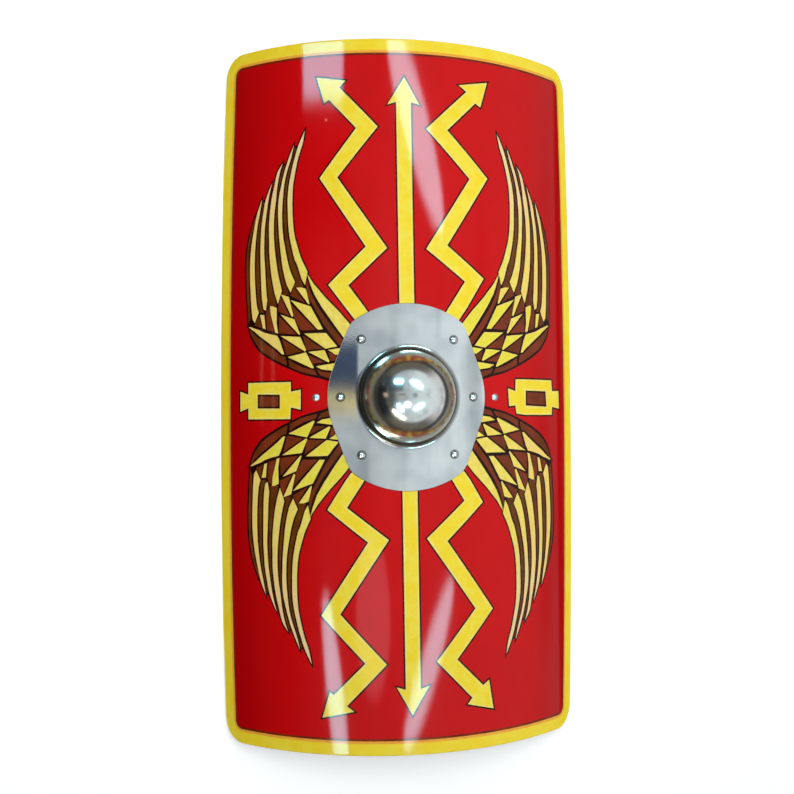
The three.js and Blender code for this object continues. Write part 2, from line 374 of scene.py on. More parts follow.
def outline(inset, across_steps=104, along_steps=96, corner_steps=12):
    half_arc = board_middle_arc / 2 - inset
    half_length = board_length / 2 - inset
    radius = board_corner - inset
    points = []
    corners = [(1, 1), (-1, 1), (-1, -1), (1, -1)]
    for number, (side, end) in enumerate(corners):
        centre = Vector((side * (half_arc - radius), end * (half_length - radius)))
        for i in range(corner_steps + 1):
            angle = (number + i / corner_steps) * math.pi / 2
            points.append(centre + radius * Vector((math.cos(angle), math.sin(angle))))
        next_side, next_end = corners[(number + 1) % 4]
        next_centre = Vector((next_side * (half_arc - radius), next_end * (half_length - radius)))
        start = points[-1].copy()
        goal = start + (next_centre - centre)
        steps = across_steps if number % 2 == 0 else along_steps
        points += [start.lerp(goal, i / steps) for i in range(1, steps)]
    half = board_length / 2
    return [(p.x * (1 - narrowing * (p.y / half) ** 2), p.y) for p in points]


print("outline of", len(outline(0)), "points")

# %% [markdown]
# The border is a ring of yellow with a warmer band on its inner side, and a thin brown line
# between it and the red.

# %% Border and red field
border_width = 22.0
warm_band = 4.0
field_line = 3.4
paint("border_inside", outline(border_width - warm_band))
paint("edge_line", outline(border_width))
paint("red", outline(border_width + field_line))

# %% [markdown]
# The middle arrow is one straight stripe from end to end under the boss, with a head at each end.
# The bolts are zigzag bands with arrow heads. All four were drawn by hand, so no two are alike and
# each has its own corners: the side nearer the middle first, then back along the outer side.

# %% Arrow and bolts
outline_width = 2.5
rim_width = 2.6


def paint_bolt(points):
    """A yellow shape inside a dark outline; the brush leaves it paler along its rim."""
    paint("line", grown(points, outline_width))
    paint("bolt_rim", points)
    paint("bolt", shrunk(points, rim_width))


stripe_half = 11.2
head_half = 24.5
head_foot = 433.0
head_neck = 437.0
head_tip = 475.0
arrow = [
    (stripe_half, -head_neck), (stripe_half, head_neck), (head_half, head_foot), (1.5, head_tip),
    (-head_half, head_foot), (-stripe_half, head_neck), (-stripe_half, -head_neck),
    (-head_half, -head_foot), (-1.5, -head_tip), (head_half, -head_foot),
]
paint_bolt([lean(p) for p in arrow])

bolts = {
    (-1, 1): [
        (136.8, 477.5), (92.0, 470.0), (101.3, 460.0), (43.8, 399.3), (105.0, 323.8), (30.5, 216.3),
        (88.8, 160.8), (66.0, 130.0), (45.0, 100.0), (72.0, 100.0), (95.0, 130.0), (119.5, 162.5),
        (62.5, 218.8), (132.5, 323.8), (76.3, 397.5), (117.5, 442.0), (125.0, 437.5),
    ],
    (1, 1): [
        (129.5, 478.8), (81.3, 468.8), (93.8, 460.0), (29.5, 398.0), (98.0, 326.0), (28.3, 216.0),
        (89.3, 168.8), (64.0, 130.0), (45.0, 100.0), (72.0, 100.0), (93.0, 130.0), (120.8, 175.0),
        (61.3, 222.5), (128.8, 329.5), (62.5, 398.0), (108.8, 443.8), (117.5, 438.8),
    ],
    (-1, -1): [
        (130.0, 479.0), (82.0, 468.8), (93.0, 460.8), (33.8, 400.0), (102.5, 327.0), (30.0, 217.5),
        (92.0, 170.0), (66.0, 130.0), (45.0, 100.0), (72.0, 100.0), (94.0, 130.0), (121.8, 173.3),
        (60.8, 221.0), (131.3, 329.5), (65.5, 398.3), (112.5, 445.0), (118.8, 441.0),
    ],
    (1, -1): [
        (131.8, 476.3), (88.8, 465.0), (96.3, 456.0), (40.8, 398.3), (102.5, 323.8), (26.8, 216.3),
        (85.8, 161.8), (66.0, 130.0), (45.0, 100.0), (72.0, 100.0), (95.0, 130.0), (116.3, 165.0),
        (58.3, 221.3), (132.0, 326.3), (72.5, 397.5), (114.5, 439.5), (124.5, 432.5),
    ],
}
for (side, end), corners in bolts.items():
    paint_bolt([(side * across, end * along) for across, along in corners])
print(len(bolts), "bolts of", len(corners), "corners")

# %% [markdown]
# A wing is five long feathers, one broad inner feather and a fan of scale feathers below them. Each
# feather is yellow on one side and brown on the other, with a dark line round both. The wing is
# drawn once, for the upper right quarter, and mirrored into the other three.

# %% Long feathers of the wing
long_feathers = [
    {
        "left": [(155, 380), (162, 360), (167, 340), (171, 320), (172.5, 300), (172.8, 280), (172, 260),
                 (169.5, 240), (164, 220), (159, 205), (149.6, 185)],
        "foot": (153.9, 165.2),
        "right": [(159, 174), (166, 196), (170, 205), (174, 220), (178, 240), (180, 260), (180.5, 280),
                  (180.5, 300), (178, 320), (173.5, 340), (168, 360), (161, 380)],
        "tip": (151, 400),
    },
    {
        "left": [(174, 360), (181, 340), (186, 320), (188.5, 300), (190, 280), (190, 260), (188.5, 240),
                 (185, 220), (181, 200), (176, 184), (170, 171)],
        "foot": (177.5, 155.3),
        "right": [(184, 168), (188, 183), (191.3, 200), (193.5, 220), (195.5, 240), (196.5, 260),
                  (197, 280), (195.5, 300), (191, 320), (185.5, 340), (178, 360)],
        "tip": (169, 380),
    },
    {
        "left": [(193, 340), (197.5, 320), (200, 300), (203, 280), (204.5, 260), (204.5, 240),
                 (203, 220), (200.5, 200), (197, 180), (192, 159)],
        "foot": (199, 139.5),
        "right": [(204.5, 156), (208, 173), (210.5, 190), (212, 205), (213, 220), (213, 240), (213, 260),
                  (211, 280), (208, 300), (203, 320), (197.5, 340)],
        "tip": (188, 354),
    },
    {
        "left": [(213.5, 300), (217, 280), (220, 260), (221.5, 240), (222, 220), (221, 200), (220, 180),
                 (219, 160), (217.5, 146)],
        "foot": (220, 130.5),
        "right": [(224.5, 133), (227, 150), (228, 170), (228.5, 190), (229, 220), (228, 240),
                  (226.5, 260), (223, 280), (218.5, 300)],
        "tip": (207, 325.5),
    },
    {
        "left": [(229.5, 280), (234, 260), (237, 240), (239, 220), (239.6, 200), (239.5, 180),
                 (238.5, 160), (236.5, 140), (233, 128)],
        "foot": (240.5, 113),
        "right": [(244.5, 118), (246.5, 135), (247.5, 155), (248.5, 175), (248.5, 200), (247, 220),
                  (244, 240), (239.5, 260), (234.5, 280)],
        "tip": (225, 302.5),
    },
]
for feather in long_feathers:
    feather["left"] = eased([feather["tip"], *feather["left"]])[1:]
    feather["right"] = eased([*feather["right"], feather["tip"]])[:-1]
outer_strip_inside = eased([
    (236.0, 274), (243, 254), (247.5, 236), (250.2, 218), (251.2, 200), (251.0, 175), (250.0, 155),
    (249.2, 135), (248.0, 121)])
outer_strip_outside = eased([
    (252.3, 112), (253.6, 135), (254.8, 155), (255.8, 175), (255.8, 200), (254.4, 220), (250.8, 240),
    (245.8, 257), (237.6, 277)])


def level_at(side_points, along):
    """How far across a feather's side is, at a place along the board."""
    ordered = sorted(side_points, key=lambda p: p[1])
    for (a0, b0), (a1, b1) in zip(ordered, ordered[1:]):
        if b0 <= along <= b1:
            return a0 + (a1 - a0) * (along - b0) / (b1 - b0)
    return ordered[0][0] if along < ordered[0][1] else ordered[-1][0]


def long_feather(feather):
    return [feather["tip"], *feather["left"], feather["foot"], *feather["right"]]


def brown_between(feather, neighbour, gap=2.5):
    """The brown half of a long feather: from its yellow side to the next feather's yellow side."""
    right = [feather["foot"], *feather["right"]]
    left = [neighbour["foot"], *neighbour["left"][::-1], neighbour["tip"]]
    top = neighbour["tip"][1] - 4
    low = feather["foot"][1] - 3
    levels = [low + (top - low) * i / 27 for i in range(28)]
    near = [(level_at(right, level) + gap, level) for level in levels]
    far = [(level_at(left, level) - gap, level) for level in levels]
    wide = [(n, f) for n, f in zip(near, far) if f[0] - n[0] > 0.6]
    return [n for n, _ in wide] + [f for _, f in reversed(wide)]


yellow_long = [long_feather(feather) for feather in long_feathers]
brown_long = [brown_between(a, b) for a, b in zip(long_feathers, long_feathers[1:])]
brown_long.append(outer_strip_inside + outer_strip_outside)
print(len(yellow_long), "long feathers")

# %% [markdown]
# The scale feathers are small kites, each cut corner to corner into a yellow and a brown half.

# %% Broad feather and scale feathers
yellow_scales = [
    [(150.6, 182.8), (139.7, 165.9), (121.3, 143.9), (101.7, 123.3), (86.2, 104.7), (79.1, 96.1),
     (88.9, 77.0), (95.7, 84.5), (111.2, 106.5), (128.2, 131.4), (139.5, 150.6), (145.4, 165.9)],
    [(152.8, 159.6), (170.9, 165.6), (148.6, 135.9), (147.2, 137.3)],
    [(180.5, 148.8), (193.7, 153.5), (175.9, 118.3), (173.4, 119.5)],
    [(145.5, 132.6), (177.6, 144.0), (134.7, 97.3), (126.4, 97.4)],
    [(171.7, 114.2), (194.7, 122.9), (164.5, 90.6), (162.9, 91.7)],
    [(201.1, 133.3), (213.0, 138.7), (211.4, 123.4), (204.1, 95.7), (199.3, 94.4), (201.6, 109.7)],
    [(223.2, 124.0), (230.8, 124.6), (225.8, 103.8), (220.9, 101.8)],
    [(122.1, 91.8), (156.2, 92.1), (123.3, 68.2), (105.2, 71.2)],
    [(162.4, 87.2), (195.0, 90.3), (155.3, 65.2), (153.4, 66.8)],
    [(200.6, 90.9), (212.4, 93.6), (223.5, 96.9), (233.4, 101.7), (241.7, 104.4), (248.6, 107.1),
     (251.8, 106.7), (240.2, 98.8), (231.1, 91.3), (221.0, 84.4), (210.8, 76.9), (200.8, 69.4),
     (193.3, 62.5), (189.3, 61.8), (191.3, 68.1), (196.3, 82.7)],
    [(101.1, 68.5), (119.1, 66.2), (107.9, 58.7), (98.7, 58.9)],
    [(124.7, 66.1), (150.3, 64.4), (119.0, 47.7), (117.2, 49.2)],
    [(153.7, 63.7), (183.6, 57.8), (143.5, 39.0), (141.5, 40.4)],
    [(108.5, 46.3), (138.3, 42.3), (129.8, 37.4), (110.4, 34.7)],
]
brown_scales = [
    [(151.0, 174.3), (152.2, 168.6), (150.6, 150.5), (144.9, 139.5), (137.1, 125.7), (125.1, 103.6),
     (113.8, 88.4), (102.3, 72.8), (93.8, 70.9), (88.9, 76.0), (98.4, 82.8), (118.8, 109.3),
     (135.7, 133.7), (145.4, 154.4)],
    [(171.6, 162.8), (178.4, 150.9), (154.0, 138.0)],
    [(194.3, 150.0), (198.4, 136.8), (198.3, 127.8), (179.4, 119.7)],
    [(176.9, 137.7), (172.4, 117.0), (161.1, 97.0), (137.9, 97.2)],
    [(197.5, 120.8), (197.9, 94.5), (168.5, 91.3)],
    [(213.8, 134.6), (218.5, 130.3), (220.4, 124.7), (218.1, 99.7), (206.6, 97.8)],
    [(232.6, 123.4), (241.2, 109.3), (228.2, 104.4)],
    [(158.2, 89.3), (153.8, 67.2), (127.5, 68.2)],
    [(193.0, 86.1), (185.7, 60.5), (160.3, 65.5)],
    [*eased([(250.6, 104.5), (245.6, 90.6), (230.4, 70.9), (207.9, 56.2), (185.5, 44.8)]),
     (185.6, 50.5), (187.6, 58.3), (195.6, 60.3), (202.7, 66.3), (212.7, 73.8), (222.9, 81.3),
     (233.0, 88.2), (242.1, 95.7)],
    [(119.0, 63.4), (115.5, 49.5), (106.6, 50.3), (107.2, 57.3)],
    [(149.6, 59.6), (143.8, 46.4), (124.9, 48.0)],
    [(181.6, 54.3), *eased([(181.6, 43.2), (168.5, 37.2), (154.5, 32.4), (136.4, 28.6)]),
     (140.6, 36.2), (157.7, 40.6), (170.0, 46.5)],
    [(136.8, 37.8), (132.4, 28.8), (118.6, 23.5), (108.3, 22.8), (108.4, 31.3), (129.8, 34.2)],
]
wing_ground = [
    (86.0, 100.0), (101.0, 121.0), (121.0, 142.0), (139.0, 164.5), (149.0, 182.0), (151.0, 188.0),
    (160.0, 200.0), (180.0, 205.0), (245.0, 205.0), (251.0, 190.0), (251.0, 150.0), (251.8, 118.0),
    *eased([(253.0, 107.0), (247.2, 89.4), (231.9, 68.9), (209.1, 54.0), (184.2, 42.0), (155.0, 30.6),
            (133.9, 25.4), (118.6, 21.0)], 6),
    (100.0, 20.0), (95.0, 60.0),
]
quarters = [(1, 1), (-1, 1), (-1, -1), (1, -1)]
ground_margin = 1.3
heart_margin = 1.6
for side, end in quarters:
    def placed(points):
        return [lean((side * across, end * along)) for across, along in points]
    wing = [("feather", placed(points)) for points in yellow_long + yellow_scales]
    wing += [("brown_long", placed(points)) for points in brown_long[:-1]]
    wing += [("brown", placed(points)) for points in [brown_long[-1], *brown_scales]]
    paint("line", grown(placed(wing_ground), ground_margin))
    for name, points in wing:
        paint("line", grown(points, outline_width, sharpest=3.0))
    for name, points in wing:
        paint(name, points)
    for points in yellow_scales:
        heart = shrunk(placed(points), heart_margin)
        if len(heart) > 2 and area_of(heart) * side * end > 0 and not crosses_itself(heart):
            paint("feather_heart", heart)
print(len(quarters), "wings of", len(wing), "feathers")

# %% [markdown]
# The tablets are the nameplates of the real shields, left blank here: a frame with a flared tab at
# each end and a brown middle. The two were drawn by hand and differ by a few millimetres.

# %% Tablets and a stray fleck of paint
tablets = [
    [(-254, 18), (-254, 0), (-269.5, 5), (-269.5, -26), (-254, -21), (-254, -38), (-180, -38),
     (-179, -20.5), (-163, -24), (-163, 6), (-179, 3.5), (-179, 18)],
    [(178, 22.5), (177, 4), (163, 8), (165, -19.5), (177, -18.5), (179, -31), (196, -33), (256.5, -33),
     (258, -20), (276, -23), (275, 6), (258, 5), (256.5, 22.5)],
]
tablet_windows = [
    [(-236.5, 0), (-236.5, -21.5), (-197.5, -22), (-197.5, -1)],
    [(198, 5), (198, -18.5), (244, -20), (242, 4.5)],
]
window_line = 2.8
for tablet, window in zip(tablets, tablet_windows):
    paint_bolt(tablet)
    paint("bolt_rim", grown(window, rim_width))
    paint("line", window)
    paint("brown", grown(window, -window_line))
fleck_place, fleck_radius, fleck_stretch = (-122.0, 412.0), 1.8, 1.4
paint("fleck", [
    (fleck_place[0] + fleck_radius * math.cos(math.radians(a)),
     fleck_place[1] + fleck_stretch * fleck_radius * math.sin(math.radians(a)))
    for a in range(0, 360, 45)
])
print(len(painted), "painted shapes in all")

# %% [markdown]
# The painted sheet is one closed skin. Its front is cut along every painted outline, so each paint
# is a set of whole faces with sharp edges and no picture is needed. A constrained triangulation does
# the cutting, and tells which painted shapes hold each triangle: the last of them is what shows.

# %% Cut one face of the sheet
def walk_ring(start, goal, after):
    """The points of a hole's edge from start up to and with goal, with those where paint meets it."""
    row = [start]
    while row[-1] != goal:
        row.append(after[row[-1]])
    return row


side_clear, end_clear = 18.0, 14.0


def cut_face(border, shapes, holes, step_across=9.0, step_along=18.0):
    """Triangles inside the border and outside the holes, with the number of the topmost shape.

    A loose grid of points, clear of the border, keeps the triangles short enough to bend well.
    """
    places, loops = [], []
    for loop in [border, *shapes, *holes]:
        loops.append(list(range(len(places), len(places) + len(loop))))
        places += [Vector(p) for p in loop]
    columns = int(board_middle_arc / step_across / 2)
    rows = int(board_length / step_along / 2)
    for column in range(-columns, columns + 1):
        for row in range(-rows, rows + 1):
            across, along = column * step_across, (row + 0.5 * (column % 2)) * step_along
            reach = board_middle_arc / 2 * (1 - narrowing * (along / (board_length / 2)) ** 2)
            if abs(across) < reach - side_clear and abs(along) < board_length / 2 - end_clear:
                places.append(Vector((across, along)))
    cut, _, faces, sources, _, held_by = delaunay_2d_cdt(places, [], loops, 1, 1e-4)
    first_hole = 1 + len(shapes)
    kept = []
    for corners, holders in zip(faces, held_by):
        if any(number >= first_hole for number in holders) or 0 not in holders:
            continue
        a, b, c = (cut[i] for i in corners)
        if (b - a).cross(c - a) < 0:
            corners = corners[::-1]
        kept.append((corners, max(holders) - 1))
    at = {source: place for place, found in enumerate(sources) for source in found}
    loops = [[at[i] for i in loop] for loop in loops]
    sides = {(a, b) for corners, _ in kept for a, b in zip(corners, [*corners[1:], corners[0]])}
    after = {b: a for a, b in sides if (b, a) not in sides}
    holes_cut = [[walk_ring(a, b, after) for a, b in zip(loop, [*loop[1:], loop[0]])]
                 for loop in loops[first_hole:]]
    return cut, kept, loops[0], holes_cut


def ring_of(centre, radius, steps=24):
    turns = [2 * math.pi * i / steps for i in range(steps)]
    return [(centre[0] + radius * math.cos(t), centre[1] + radius * math.sin(t)) for t in turns]


hand_hole_radius = 67.0
rivet_hole_radius = 2.75


def hand_hole(depth, steps=96):
    """The hand hole is cut straight down, so its plan is a little wider across than along."""
    face_radius = bend_radius - depth
    return [
        (bend_radius * math.asin(across / face_radius), along)
        for across, along in ring_of((0, boss_along), hand_hole_radius, steps)
    ]

# %% [markdown]
# The boss sits on an oval flange. Its outline is a round plate whose left and right sides have been
# trimmed to a smaller round, which runs out into two straight cuts. The rivets are set in from it.

# %% Flange outline and rivet places
flange_half_width = bend_radius * math.sin(121.0 / bend_radius)
flange_half_length = 140.0
flange_side_turn = math.radians(20)
flange_power = 50


def flange_reach(turn):
    from_side = math.acos(min(1.0, abs(math.cos(turn))))
    past_side = max(0.0, from_side - flange_side_turn)
    trimmed = (math.cos(past_side) / flange_half_width) ** flange_power
    plate = (1 / flange_half_length) ** flange_power
    return (trimmed + plate) ** (-1 / flange_power)


def set_in(degrees, inset):
    turn = math.radians(degrees)
    reach = flange_reach(turn) - inset
    across = bend_radius * math.asin(reach * math.cos(turn) / bend_radius)
    return (across, boss_along + reach * math.sin(turn))


boss_rivet_places = [
    set_in(51, 27), set_in(0, 19), set_in(-51, 27), set_in(129, 27), set_in(180, 19), set_in(-129, 27),
]
grip_rivet_places = [(139.0, boss_along), (-139.0, boss_along)]
print("boss rivets at", [(round(a), round(b)) for a, b in boss_rivet_places])

# %% [markdown]
# Round the edge the sheet is rolled over a wire, towards the back. In section that is most of a
# circle, from the front face over the outside to where it meets the back face again. The section is
# carried round the outline in the plan, a copy at every outline point.

# %% Section of the rolled edge
roll_radius = 2.35
roll_centre_depth = 2.2
roll_steps = 20
front_meets = math.pi / 2 + math.acos(roll_centre_depth / roll_radius)
back_meets = -math.pi - math.asin((roll_centre_depth - sheet) / roll_radius)
roll_path = outline(roll_radius)


def roll_ring(turn):
    """One line round the roll: plan points, depths and the directions the skin faces there."""
    out, up = math.cos(turn), math.sin(turn)
    places, facing = [], []
    for i, (across, along) in enumerate(roll_path):
        before, after = roll_path[i - 1], roll_path[(i + 1) % len(roll_path)]
        run = Vector((after[0] - before[0], after[1] - before[1])).normalized()
        side = Vector((run.y, -run.x))
        places.append((
            across + side.x * out * roll_radius,
            along + side.y * out * roll_radius,
            roll_centre_depth - up * roll_radius,
        ))
        facing.append((side.x * out, side.y * out, up))
    return places, facing


turns = [front_meets + (back_meets - front_meets) * i / roll_steps for i in range(roll_steps + 1)]
rings = [roll_ring(turn) for turn in turns]
front_border = [(a, b) for a, b, _ in rings[0][0]]
back_border = [(a, b) for a, b, _ in rings[-1][0]]
paint_names = list(paints)
yellow_ends_at = math.radians(-40)
print("rolled edge of", len(rings), "lines")

# %% [markdown]
# Now the skin is put together flat: the front, the roll, the back, and the walls of the holes. The
# two faces and the roll share their border points, so the skin is closed. The direction each corner
# faces is written down at the same time, because a bent sheet should shine without facets.

# %% Put the flat skin together
spots, skin, skin_paint, skin_facing = [], [], [], []


def add_faces(faces, facing):
    for corners, name in faces:
        skin.append(tuple(corners))
        skin_paint.append(paint_names.index(name))
        skin_facing.append([facing(corner) for corner in corners])


rivet_holes = [ring_of(p, rivet_hole_radius) for p in boss_rivet_places + grip_rivet_places]
front_cut, front_kept, front_edge, front_holes = cut_face(
    front_border, [points for _, points in painted], [hand_hole(0), *rivet_holes])
spots += [(p.x, p.y, 0.0) for p in front_cut]
add_faces(
    [(corners, "border" if top < 0 else painted[top][0]) for corners, top in front_kept],
    lambda corner: (0, 0, 1))

back_start = len(spots)
back_cut, back_kept, back_edge, back_holes = cut_face(
    back_border, [], [hand_hole(sheet), *rivet_holes], 9.0, 45.0)
spots += [(p.x, p.y, sheet) for p in back_cut]
add_faces(
    [([back_start + i for i in reversed(corners)], "back") for corners, _ in back_kept],
    lambda corner: (0, 0, -1))

ring_spots = [front_edge]
for places, _ in rings[1:-1]:
    ring_spots.append(list(range(len(spots), len(spots) + len(places))))
    spots += places
ring_spots.append([back_start + i for i in back_edge])
count = len(roll_path)
for number in range(roll_steps):
    name = "border" if turns[number] > yellow_ends_at else "back"
    upper, lower = ring_spots[number], ring_spots[number + 1]
    upper_facing, lower_facing = rings[number][1], rings[number + 1][1]
    for i in range(count):
        j = (i + 1) % count
        skin.append((upper[i], lower[i], lower[j], upper[j]))
        skin_paint.append(paint_names.index(name))
        skin_facing.append([upper_facing[i], lower_facing[i], lower_facing[j], upper_facing[j]])

for front_hole, back_hole in zip(front_holes, back_holes):
    middle = sum((Vector(spots[row[0]][:2]) for row in front_hole), Vector((0, 0))) / len(front_hole)
    for front_row, back_row in zip(front_hole, back_hole):
        wall = [*front_row, *[back_start + i for i in reversed(back_row)]]
        skin.append(tuple(wall))
        skin_paint.append(paint_names.index("back"))
        inward = [(middle - Vector(spots[k][:2])).normalized() for k in wall]
        skin_facing.append([(d.x, d.y, 0.0) for d in inward])
used = sorted({corner for corners in skin for corner in corners})
renumbered = {old: new for new, old in enumerate(used)}
spots = [spots[old] for old in used]
skin = [tuple(renumbered[corner] for corner in corners) for corners in skin]
print("flat skin of", len(spots), "points and", len(skin), "faces")

# %% [markdown]
# A small Geometry Nodes tree bends the flat skin round its axis. The plan's across becomes an angle,
# so one rule holds for the front, the roll and the back alike.

# %% Geometry Nodes helpers
def new_geometry_tree(name, inputs):
    """A Geometry Nodes group that takes a geometry and the named inputs, with their usual values."""
    group = bpy.data.node_groups.new(name, "GeometryNodeTree")
    group.interface.new_socket("Geometry", in_out="INPUT", socket_type="NodeSocketGeometry")
    group.interface.new_socket("Geometry", in_out="OUTPUT", socket_type="NodeSocketGeometry")
    for label, kind in inputs:
        group.interface.new_socket(label, in_out="INPUT", socket_type=kind)
    tree = Tree(group)
    entry = group.nodes.new("NodeGroupInput")
    wires = {socket.name: Wire(tree, socket) for socket in entry.outputs if socket.name}
    return group, tree, wires


def end_geometry_tree(tree, geometry):
    real = tree.node("GeometryNodeRealizeInstances", None, {0: geometry})
    tree.node("NodeGroupOutput", None, {0: real})


def socket_identifiers(group):
    items = group.interface.items_tree
    return {item.name: item.identifier for item in items if item.in_out == "INPUT"}


def made_by_tree(source, group, values, name):
    """Runs the tree on the source object and returns the result as a plain object."""
    modifier = source.modifiers.new("tree", "NODES")
    modifier.node_group = group
    identifiers = socket_identifiers(group)
    for label, value in values.items():
        modifier[identifiers[label]] = value
    bpy.context.view_layer.update()
    evaluated = source.evaluated_get(bpy.context.evaluated_depsgraph_get())
    mesh = bpy.data.meshes.new_from_object(evaluated)
    mesh.name = name
    source.modifiers.remove(modifier)
    made = bpy.data.objects.new(name, mesh)
    bpy.context.scene.collection.objects.link(made)
    bpy.data.objects.remove(source)
    return made


def new_object(name, mesh):
    made = bpy.data.objects.new(name, mesh)
    bpy.context.scene.collection.objects.link(made)
    return made

# %% [markdown]
# The tree below sets every point anew. Its place round the bend is an angle and its depth a shorter
# radius. The corners' directions are bent by the same rule afterwards.

# %% Bend the skin
bend_group, bend_tree, bend_inputs = new_geometry_tree(
    "bend_sheet", [("Bend Radius", "NodeSocketFloat"), ("Axis Level", "NodeSocketFloat")])
flat_place = bend_tree.node("GeometryNodeInputPosition")
flat_across, flat_along, flat_up = bend_tree.parts(flat_place)
bend_angle = flat_across / bend_inputs["Bend Radius"]
bend_reach = bend_inputs["Bend Radius"] + flat_up
bent_x = bend_reach * bend_angle.math("SINE", bend_angle)
bent_z = bend_inputs["Axis Level"] + bend_reach * bend_angle.math("COSINE", bend_angle)
bent_place = bend_tree.node("ShaderNodeCombineXYZ", None, {0: bent_x, 1: flat_along, 2: bent_z})
bent_sheet = bend_tree.node(
    "GeometryNodeSetPosition", None, {"Geometry": bend_inputs["Geometry"], "Position": bent_place})
end_geometry_tree(bend_tree, bent_sheet)

flat_mesh = bpy.data.meshes.new("flat_skin")
flat_mesh.from_pydata([(a * MM, b * MM, -d * MM) for a, b, d in spots], [], skin)
for paint_material in paints.values():
    flat_mesh.materials.append(paint_material)
flat_mesh.polygons.foreach_set("material_index", skin_paint)
board = made_by_tree(
    new_object("flat_skin", flat_mesh),
    bend_group,
    {"Bend Radius": bend_radius * MM, "Axis Level": bend_axis_level * MM},
    "painted_board")

facing = []
for corners, directions in zip(skin, skin_facing):
    facing += [bent_direction(spots[c][0], d) for c, d in zip(corners, directions)]
board.data.polygons.foreach_set("use_smooth", [True] * len(board.data.polygons))
board.data.normals_split_custom_set(facing)
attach(board, "root")
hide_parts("board")

checked = bmesh.new()
checked.from_mesh(board.data)
open_edges = sum(1 for edge in checked.edges if len(edge.link_faces) != 2)
print("painted board:", len(checked.faces), "faces,", open_edges, "open edges, volume",
      round(checked.calc_volume() * 1e6, 1), "cm3")
checked.free()

# %% [markdown]
# The boss is spun from one sheet: a ball-shaped dome, a hollow round at its foot, and the flange
# laid on the bent board. The section is turned about the boss's own axis. Past the foot each
# point is lowered onto the board and drawn out to the oval.

# %% Boss section
dome_radius = 69.0
dome_lift = 9.0
dome_foot_radius = 9.0
boss_sheet = 1.5
contact_gap = 0.3
flange_top = contact_gap + boss_sheet
flange_start = dome_radius + dome_foot_radius
foot_level = flange_top + dome_foot_radius
rim_round = 0.6


def boss_face(wall, foot, level, dome_steps=48, foot_steps=10, flange_steps=16):
    """One face of the section: radius, height, share of the flange, and whether it follows the board."""
    lowest = math.acos((foot_level + boss_sheet - dome_lift) / dome_radius)
    points = []
    for i in range(dome_steps + 1):
        angle = lowest * i / dome_steps
        points.append((wall * math.sin(angle), dome_lift + wall * math.cos(angle), 0.0, False))
    for i in range(foot_steps + 1):
        angle = math.pi / 2 * i / foot_steps
        radius = flange_start - foot * math.cos(angle)
        points.append((radius, foot_level - foot * math.sin(angle), 0.0, True))
    for i in range(1, flange_steps + 1):
        points.append((flange_start, level, i / flange_steps, True))
    return points


def boss_point(point, turn, inset=0.0):
    radius, height, share, laid = point
    if share > 0:
        radius = flange_start + share * (flange_reach(turn) - inset - flange_start)
    x, y = radius * math.cos(turn), boss_along + radius * math.sin(turn)
    base = math.sqrt((bend_radius + height) ** 2 - x * x) if laid else bend_radius + height
    return Vector((x, y, bend_axis_level + base)) * MM


boss_front = boss_face(dome_radius, dome_foot_radius, flange_top)
boss_back = boss_face(dome_radius - boss_sheet, dome_foot_radius + boss_sheet, contact_gap)
rim_top = (flange_start, flange_top - rim_round, 1.0, True)
rim_low = (flange_start, contact_gap + rim_round, 1.0, True)
boss_section = [*boss_front[1:], rim_top, rim_low, *boss_back[:0:-1]]
rim_places = {len(boss_front) - 2, len(boss_front) + 1}
boss_turns = 224

# %% [markdown]
# A spinner turns the sheet over a former; here the section's points are turned the same way, many
# times round, and joined into one closed shell of true thickness.

# %% Turn the boss
boss_points = []
for step in range(boss_turns):
    turn = 2 * math.pi * step / boss_turns
    for number, point in enumerate(boss_section):
        boss_points.append(boss_point(point, turn, rim_round if number in rim_places else 0.0))
crown_front = len(boss_points)
boss_points.append(boss_point(boss_front[0], 0.0))
boss_points.append(boss_point(boss_back[0], 0.0))
size = len(boss_section)
boss_faces = []
for step in range(boss_turns):
    here, after = step * size, (step + 1) % boss_turns * size
    boss_faces.append((crown_front, here, after))
    for i in range(size - 1):
        boss_faces.append((here + i, here + i + 1, after + i + 1, after + i))
    boss_faces.append((crown_front + 1, after + size - 1, here + size - 1))
boss_mesh = bpy.data.meshes.new("boss_shell")
boss_mesh.from_pydata(boss_points, [], boss_faces)
boss_shell = new_object("boss_shell", boss_mesh)
print("boss section of", size, "points turned", boss_turns, "times")

# %% [markdown]
# The rivet holes go through the flange square to its bent face. A boolean with short pins makes
# them, as a drill would.

# %% Drill the boss and give it smooth sides
def turned_mesh(name, section, steps=48):
    """A closed piece turned about Z from a section of (radius, level) that starts and ends at 0."""
    points, faces, rows = [], [], []
    for radius, level in section:
        if radius == 0:
            rows.append([len(points)] * steps)
            points.append((0.0, 0.0, level * MM))
            continue
        rows.append(list(range(len(points), len(points) + steps)))
        turns_round = [2 * math.pi * i / steps for i in range(steps)]
        points += [(radius * MM * math.cos(t), radius * MM * math.sin(t), level * MM) for t in turns_round]
    for upper, lower in zip(rows, rows[1:]):
        for i in range(steps):
            j = (i + 1) % steps
            corners = list(dict.fromkeys((upper[i], lower[i], lower[j], upper[j])))
            if len(corners) > 2:
                faces.append(corners)
    mesh = bpy.data.meshes.new(name)
    mesh.from_pydata(points, [], faces)
    return mesh


def smooth_with_edges(mesh, degrees):
    mesh.polygons.foreach_set("use_smooth", [True] * len(mesh.polygons))
    mesh.set_sharp_from_angle(angle=math.radians(degrees))


def stand_on_board(across, along):
    """Moves and turns a piece drawn about Z so that it stands square on the board."""
    turn = Matrix.Rotation(across / bend_radius, 4, "Y")
    return Matrix.Translation(bent(across, along)) @ turn


